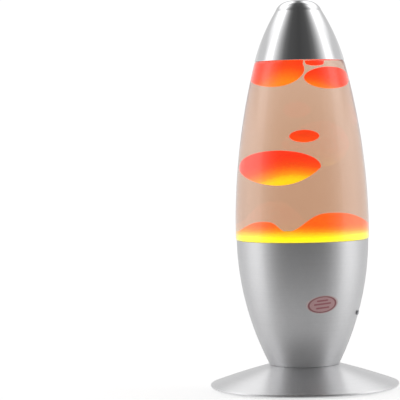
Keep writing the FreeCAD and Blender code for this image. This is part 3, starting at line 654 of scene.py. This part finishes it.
def moulded(name, colour, roughness, metallic=0.0):
    """Plain moulded, plated or printed stuff with a fine grain."""
    n = Nodes(name)
    noise = n.add("ShaderNodeTexNoise", Scale=GRAIN_SCALE, Detail=3.0)
    wide = n.add("ShaderNodeTexNoise", Scale=GRAIN_SCALE / GRAIN_WIDER, Detail=2.0)
    mixed = n.math("ADD", n.math("MULTIPLY", noise.outputs[0], 0.5), n.math("MULTIPLY", wide.outputs[0], 0.5))
    low = tuple(c * GRAIN_DARK for c in colour)
    tone = n.ramp(mixed, list(zip(GRAIN_TONES, (low, colour))))
    bump = n.add("ShaderNodeBump", Height=noise.outputs[0], Strength=GRAIN_BUMP, Distance=0.0002)
    shader = n.add("ShaderNodeBsdfPrincipled", Base_Color=tone, Metallic=metallic, Roughness=roughness,
                   Normal=bump.outputs[0])
    return n.surface(shader)


def paint(obj, material):
    obj.data.materials.clear()
    obj.data.materials.append(material)


def paint_node(node, material):
    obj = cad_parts[node]
    for slot in obj.material_slots:
        slot.material = material


# ---- pieces ----

def make_bottle():
    """Glass and liquid bend light as one: the wall they share bends nothing, so it has no glints."""
    outside = vessel_outline(0.0, BOTTLE_TOP_Z, ledge=True)
    inside = vessel_outline(GLASS_WALL, BOTTLE_TOP_Z)
    bottle = lathe("glass_bottle", outside + inside[::-1])
    stand_for(bottle, clear_glass("bottle_glass", LIQUID_IOR, 1.0), "bottle", "bottle")
    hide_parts("bottle_neck")
    bottle.data.materials.append(clear_glass("wetted_glass", 1.0))
    for face in bottle.data.polygons[SEGMENTS * (len(outside) - 1):]:
        if face.center.z < LIQUID_TOP_Z:
            face.material_index = 1


def make_liquid():
    outline = vessel_outline(GLASS_WALL - LIQUID_OVERLAP, LIQUID_TOP_Z)
    liquid = lathe("lamp_liquid", outline + [(0, LIQUID_TOP_Z)])
    stand_for(liquid, amber_liquid("amber_liquid", 1.0), "liquid", "bottle")
    liquid.data.materials.append(amber_liquid("amber_surface", LIQUID_IOR))
    for face in liquid.data.polygons[SEGMENTS * (len(outline) - 1):]:
        face.material_index = 1


def stand_for(piece, material, node, body):
    """Makes a new piece take a CAD node's place."""
    paint(piece, material)
    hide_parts(node)
    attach(piece, body)


def make_wax_pool():
    """The pool follows the bottle's floor and wall, and its top is a level with mounds."""
    floor_r = inner_radius(POOL_FLOOR_Z, POOL_INSET)
    outline = [p for p in vessel_outline(POOL_INSET, LIQUID_TOP_Z) if p[1] < POOL_FLOOR_Z]
    floor_z = outline[-1][1]

    def top_z(x, y):
        z = POOL_LEVEL
        for centre_x, centre_y, rise, left, right, deep in POOL_MOUNDS:
            across = (x - centre_x) / (left if x < centre_x else right)
            z += rise * math.exp(-math.hypot(across, (y - centre_y) / deep) ** 3)
        return z

    def edge(a):
        r = floor_r
        for _ in range(POOL_EDGE_PASSES):
            r = inner_radius(top_z(r * math.cos(a), r * math.sin(a)), POOL_INSET)
        return r, top_z(r * math.cos(a), r * math.sin(a))

    edges = {}

    def wax_surface(level, a):
        kind, value = level
        if kind == "floor":
            return value
        if a not in edges:
            edges[a] = edge(a)
        edge_r, edge_z = edges[a]
        if kind == "side":
            z = floor_z + (edge_z - floor_z) * value
            return inner_radius(z, POOL_INSET), z
        r = edge_r * value
        return r, top_z(r * math.cos(a), r * math.sin(a))

    levels = [("floor", point) for point in outline]
    levels += [("side", (i + 1) / POOL_SIDE_STEPS) for i in range(POOL_SIDE_STEPS)]
    levels += [("top", 1 - (i + 1) / POOL_TOP_STEPS) for i in range(POOL_TOP_STEPS)]
    pool = surface_round("molten_wax_pool", levels, wax_surface)
    # Painted bulb light: the pool is painted yellow low down and turns orange above its level
    lit_z = POOL_LEVEL - POOL_FULLY_LIT_BELOW
    dim_z = POOL_LEVEL + POOL_DIMMEST_ABOVE
    material = glowing_wax("glow_pool", 0.36, 1.05, lit_z, dim_z)
    stand_for(pool, material, "wax_pool", "bottle")


def make_blobs():
    """Each row: piece, node, body, (tip's rise, powers of top, bottom left, bottom right), (least and fullest
    painted bulb light).
    """
    shapes = [
        ("wax_lens_large", "wax_blob_large", "wax_large", (0.02, 0.5, 0.72, 0.86), (0.04, 0.98)),
        ("wax_drop_small", "wax_blob_small", "wax_small", (0.0, 0.55, 0.55, 0.55), (0.12, 0.30)),
        ("wax_lobe_left", "wax_blob_upper_left", "wax_upper_left", (0.0, 0.5, 0.5, 0.55), (0.06, 0.60)),
        ("wax_lobe_right", "wax_blob_upper_right", "wax_upper_right", (0.0, 0.5, 0.55, 0.5), (0.06, 0.50)),
        ("wax_skin", "wax_film", "bottle", (0.25, 0.6, 0.7, 0.9), (0.02, 0.12)),
    ]
    # Each piece gets painted bulb light, fullest at a spot under it
    for name, node, body, shape, (dim_level, lit_level) in shapes:
        material = glowing_wax("glow_" + name, dim_level, lit_level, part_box(node)[0].z, node=node)
        stand_for(blob(name, node, *shape), material, node, body)


def make_heat_coil(zinc):
    """A fine spring, bent into a ring."""
    low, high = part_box("heat_coil")
    middle_z = (low.z + high.z) / 2
    coil_r = (high.z - low.z) / 2 - COIL_WIRE_RADIUS
    ring_r = high.x - (high.z - low.z) / 2
    steps = COIL_TURNS * COIL_TURN_STEPS
    points = []
    for i in range(steps):
        a = 2 * math.pi * i / steps
        r = ring_r + coil_r * math.cos(COIL_TURNS * a)
        z = middle_z + coil_r * math.sin(COIL_TURNS * a)
        points.append(Vector((r * math.cos(a), r * math.sin(a), z)))
    spring = tube_along("coiled_spring", points, COIL_WIRE_RADIUS)
    stand_for(spring, zinc, "heat_coil", "bottle")


def make_crown():
    """A crown cap: a flat top with a shallow rim, and a skirt pressed into 21 flutes."""
    low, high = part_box("bottle_closure")
    r = high.x
    top = high.z
    wall = 0.00035
    flat_r = r * 0.80
    corner_r = r - 0.0006
    corner_z = top - 0.0007
    knee_z = top - 0.0016
    hem_z = low.z + 0.0018
    hem_r = r - 0.0003
    outline = [(0, top, 0), (flat_r, top, 0), (r * 0.90, top - 0.0002, 0), (corner_r, corner_z, 0),
               (r - 0.0002, knee_z, 0.0001), (r, hem_z, 0.0006), (hem_r, low.z, 0.0011),
               (hem_r - wall, low.z, 0.0010), (r - wall, hem_z, 0.0005), (r - wall, knee_z, 0.0001),
               (corner_r - wall, corner_z - wall, 0), (flat_r, top - wall, 0), (0, top - wall, 0)]
    crown = fluted("crown_cap", outline, 21, 12)
    gold = moulded("gold_crown", (0.75, 0.58, 0.25), 0.3, metallic=1.0)
    stand_for(crown, gold, "bottle_closure", "bottle")


def make_threads(zinc, brass):
    """The bulb's cap, the tube through the lamp and its two nuts."""
    low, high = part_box("bulb_screw_shell")
    shell = threaded("bulb_thread", high.x, EDISON_WALL, EDISON_DEPTH, EDISON_PITCH, low.z, high.z)
    stand_for(shell, brass, "bulb_screw_shell", "bulb")
    low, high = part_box("threaded_tube")
    tube = threaded("lamp_tube", high.x, TUBE_WALL, TUBE_THREAD_DEPTH, TUBE_PITCH, low.z, high.z,
                    inner_thread=False)
    stand_for(tube, zinc, "threaded_tube", "stand")
    for node in ("upper_nut", "lower_nut"):
        low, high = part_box(node)
        flats = min(high.x, high.y) * 2
        nut = hexagonal_nut("hex_" + node, flats, NUT_BORE, low.z, high.z)
        stand_for(nut, zinc, node, "stand")


def make_sleeve(resin):
    """The lampholder's skirt, ribbed for grip."""
    low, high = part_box("holder_sleeve")
    r = high.x
    skirt = 0.0125
    mouth = 0.0084
    rib = 0.0005
    rib_low = low.z + 0.0016
    rib_high = high.z - 0.0042
    step_z = low.z + 0.0035
    outline = [(skirt, low.z, 0), (r, low.z, 0), (r, low.z + 0.0012, 0), (r, rib_low, rib),
               (r, rib_high, rib), (r, high.z - 0.0038, 0), (r, high.z - 0.0022, 0),
               (r - 0.0006, high.z - 0.0008, 0), (r - 0.0022, high.z, 0), (mouth, high.z, 0),
               (mouth, step_z, 0), (skirt, step_z, 0)]
    sleeve = fluted("ribbed_sleeve", outline, 40, 8)
    stand_for(sleeve, resin, "holder_sleeve", "stand")


def paint_metal():
    polished = turned_metal("polished_cap", (0.90, 0.90, 0.91), 0.13, 0.03, 0.3)
    satin = turned_metal("satin_shell", (0.65, 0.65, 0.66), 0.34, 0.07, 0.55, 0.77, 0.50)
    spun = turned_metal("spun_foot", (0.83, 0.83, 0.84), 0.36, 0.07, 0.70, 0.88)
    paint_node("top_cap", polished)
    paint_node("body_shell", satin)
    paint_node("base_foot", spun)


def paint_hardware(zinc, brass, resin):
    rubber = moulded("black_rubber", (0.03, 0.03, 0.03), 0.75)
    for node in ("bottom_cover", "lower_washer", "upper_lock_washer", "holder_bracket", "side_screws",
                 "bottle_seat_ring"):
        paint_node(node, zinc)
    for node in ("holder_screw_shell", "holder_contact"):
        paint_node(node, brass)
    for node in ("rubber_foot_1", "rubber_foot_2", "rubber_foot_3", "rubber_foot_4", "cord_grommet"):
        paint_node(node, rubber)
    for node in ("holder_base", "bulb_insulator"):
        paint_node(node, resin)
    paint_node("holder_insulator", moulded("white_ceramic", (0.85, 0.84, 0.80), 0.2))
    paint_node("closure_seal", moulded("clear_liner", (0.85, 0.85, 0.82), 0.4))
    paint_node("seat_gasket", moulded("clear_silicone", (0.70, 0.70, 0.68), 0.35))
    paint_node("bulb_contact", moulded("solder", (0.60, 0.60, 0.62), 0.3, metallic=1.0))
    paint_node("bulb_filament", moulded("tungsten", (0.35, 0.35, 0.36), 0.35, metallic=1.0))
    paint_node("bulb_envelope", reflector_glass())
    paint_node("bulb_stem", clear_glass("stem_glass"))
    paint_node("label_sticker", printed_label())


# ---- stage ----

def set_camera():
    forward = Vector((-math.sin(CAMERA_YAW), math.cos(CAMERA_YAW), 0)) * math.cos(CAMERA_PITCH)
    forward.z = -math.sin(CAMERA_PITCH)
    level = Vector((math.cos(CAMERA_YAW), math.sin(CAMERA_YAW), 0))
    upright = level.cross(forward)
    right = level * math.cos(CAMERA_ROLL) + upright * math.sin(CAMERA_ROLL)
    up = upright * math.cos(CAMERA_ROLL) - level * math.sin(CAMERA_ROLL)
    camera = bpy.data.objects.new("camera", bpy.data.cameras.new("camera"))
    camera.data.lens = CAMERA_LENS
    camera.data.sensor_width = CAMERA_SENSOR
    camera.data.clip_end = CAMERA_REACH
    turn = Matrix((right, up, -forward)).transposed().to_4x4()
    camera.matrix_world = Matrix.Translation((0, -CAMERA_DISTANCE, CAMERA_HEIGHT)) @ turn
    bpy.context.scene.collection.objects.link(camera)
    bpy.context.scene.camera = camera


def set_floor():
    """A round pale sheet, bright enough to melt into the background. Metal and glass don't show it."""
    floor = lathe("floor", [(0, 0), (FLOOR_RADIUS, 0)])
    n = Nodes("pale_floor")
    shader = n.add("ShaderNodeBsdfPrincipled", Base_Color=(0.88, 0.88, 0.88, 1), Roughness=0.9,
                   Emission_Color=(1, 1, 1, 1), Emission_Strength=FLOOR_GLOW)
    paint(floor, n.surface(shader))
    floor.visible_glossy = False
    floor.visible_transmission = False


def set_world():
    """A soft tent: bright at both sides, dim in front and in a stripe overhead, white to the camera."""
    n = Nodes("light_tent", world=True)
    direction = n.tree.nodes.new("ShaderNodeSeparateXYZ")
    n.link(n.tree.nodes.new("ShaderNodeTexCoord").outputs["Generated"], direction.inputs[0])
    x, y, z = direction.outputs
    forward = n.math("SUBTRACT", n.math("MULTIPLY", n.math("MAXIMUM", z, 0.0), TENT_LEAN), y)
    from_front = n.math("ARCTAN2", x, forward)
    turn = n.math("DIVIDE", n.math("ABSOLUTE", from_front), math.pi)

    def around(stops):
        return n.ramp(turn, [(degrees / 180, (level / TENT_PEAK,) * 3) for degrees, level in stops])

    downward = n.scaled(*TENT_DOWNWARD_Z, z, smooth=True)
    light = n.mix_colour(downward, around(TENT_LEVEL), around(TENT_BELOW))
    behind = n.scaled(*TENT_BEHIND_Y, y, smooth=True)
    low_back = n.math("MULTIPLY", n.scaled(*TENT_LOW_BACK_Z, z, smooth=True), behind)
    light = n.mix_colour(low_back, light, (TENT_LOW_BACK / TENT_PEAK,) * 3)
    overhead = n.math("MULTIPLY", n.scaled(*TENT_OVERHEAD_Z, z, smooth=True), behind)
    light = n.mix_colour(overhead, light, (TENT_TOP / TENT_PEAK,) * 3)
    sideways = n.math("DIVIDE", n.math("ABSOLUTE", x), n.math("MAXIMUM", z, TENT_LEAST_RISE))
    half_width = n.scaled(*TENT_STRIPE_WIDTH_Y, y, *TENT_STRIPE_HALF_WIDTH, smooth=True)
    in_stripe = n.scaled(*TENT_STRIPE_EDGE, n.math("DIVIDE", sideways, half_width), smooth=True)
    high_up = n.scaled(*TENT_STRIPE_Z, z, smooth=True)
    aloft = n.math("MULTIPLY", high_up, n.scaled(*TENT_STRIPE_Y, y, smooth=True))
    dark = n.scaled(*TENT_STRIPE_DARK_Y, y, *(level / TENT_PEAK for level in TENT_DARK_TOP))
    light = n.mix_colour(n.math("MULTIPLY", aloft, in_stripe), light, dark)
    tent = n.add("ShaderNodeBackground", Color=light, Strength=TENT_PEAK)
    white = n.add("ShaderNodeBackground", Color=(1, 1, 1, 1), Strength=BACKGROUND_LEVEL)
    seen = n.tree.nodes.new("ShaderNodeMixShader")
    n.link(n.tree.nodes.new("ShaderNodeLightPath").outputs["Is Camera Ray"], seen.inputs[0])
    n.link(tent.outputs[0], seen.inputs[1])
    n.link(white.outputs[0], seen.inputs[2])
    bpy.context.scene.world = n.surface(seen)


bpy.context.scene.view_settings.view_transform = "Standard"
set_camera()
set_floor()
set_world()
make_bottle()
make_liquid()
make_wax_pool()
make_blobs()
zinc = moulded("zinc_plate", (0.62, 0.63, 0.65), 0.3, metallic=1.0)
brass = moulded("bright_brass", (0.80, 0.60, 0.28), 0.25, metallic=1.0)
resin = moulded("black_resin", (0.035, 0.032, 0.03), 0.35)
make_heat_coil(zinc)
make_crown()
make_threads(zinc, brass)
make_sleeve(resin)
paint_metal()
paint_hardware(zinc, brass, resin)
